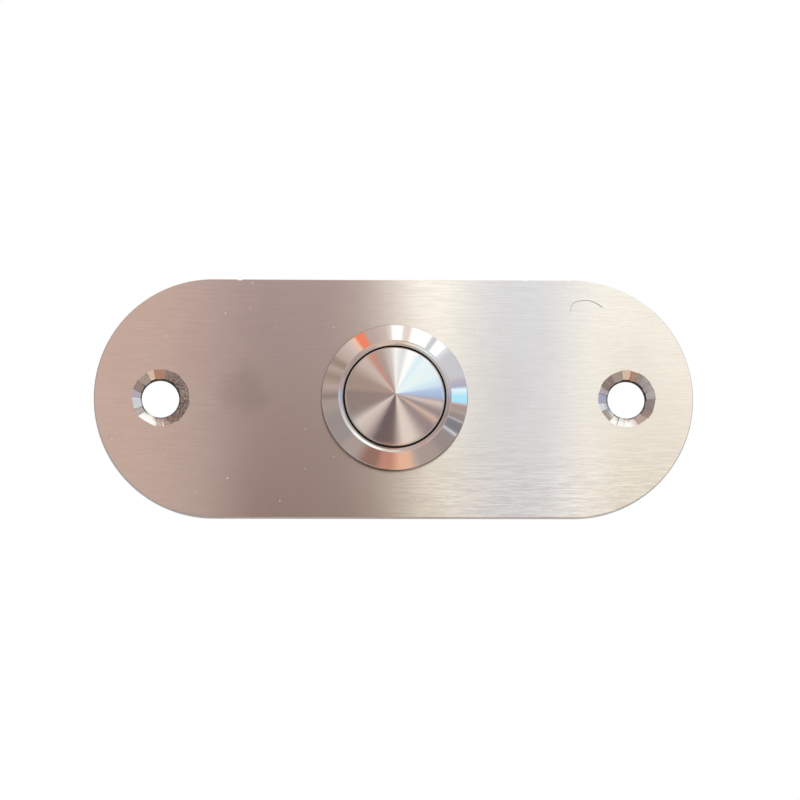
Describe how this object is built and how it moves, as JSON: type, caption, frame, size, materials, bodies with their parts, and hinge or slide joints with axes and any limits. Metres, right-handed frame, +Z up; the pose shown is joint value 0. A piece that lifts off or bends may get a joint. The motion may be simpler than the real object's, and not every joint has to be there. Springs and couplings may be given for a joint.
{
  "type": "doorbell push button",
  "caption": "Flush brushed-steel doorbell plate with round ends, two countersunk screw holes and a round metal push button in a raised cone-shaped bezel.",
  "frame": {"origin": "middle of the plate's back face, which lies on the wall", "axes": "+X along the plate, to the right seen from the front; +Y into the wall; +Z up"},
  "size_m": [0.09, 0.0271, 0.036],
  "materials": {
    "plate_steel": "stainless steel, brushed along its length",
    "turned_steel": "stainless steel, fine turned and polished",
    "nut_steel": "nickel-plated, fine turned",
    "seal_rubber": "matt nitrile rubber",
    "white_plastic": "natural white nylon",
    "black_plastic": "black moulded, fine satin",
    "spring_wire": "drawn stainless wire",
    "contact_brass": "rolled brass, satin",
    "contact_silver": "silver alloy, satin",
    "screw_zinc": "zinc-plated"
  },
  "bodies": {
    "housing": {"face_plate": "plate_steel", "switch_housing": "turned_steel", "flange_gasket": "seal_rubber", "locking_nut": "nut_steel", "plunger_guide": "black_plastic", "terminal_base": "black_plastic", "base_seal": "seal_rubber", "fixed_contact_left": "contact_silver", "fixed_contact_right": "contact_silver", "terminal_left": "contact_brass", "terminal_right": "contact_brass", "terminal_screw_left": "screw_zinc", "terminal_screw_right": "screw_zinc", "clamp_washer_left": "screw_zinc", "clamp_washer_right": "screw_zinc"},
    "button": {"button_cap": "turned_steel", "button_seal": "seal_rubber", "plunger": "white_plastic", "return_spring": "spring_wire"},
    "bridge": {"contact_bridge": "contact_brass", "bridge_contact_left": "contact_silver", "bridge_contact_right": "contact_silver", "contact_spring": "spring_wire"}
  },
  "joints": [
    {"name": "button_press", "type": "slide", "parent": "housing", "child": "button", "axis": [0, 1, 0], "range_m": [0, 0.002], "stiffness_N_per_m": 800, "springref_m": -0.002, "deforming": ["return_spring"]},
    {"name": "bridge_close", "type": "slide", "parent": "housing", "child": "bridge", "axis": [0, 1, 0], "range_m": [0, 0.0015], "deforming": ["contact_spring"]}
  ],
  "couplings": [
    {"joint": "bridge_close", "follows": "button_press", "ratio": 0.75}
  ]
}
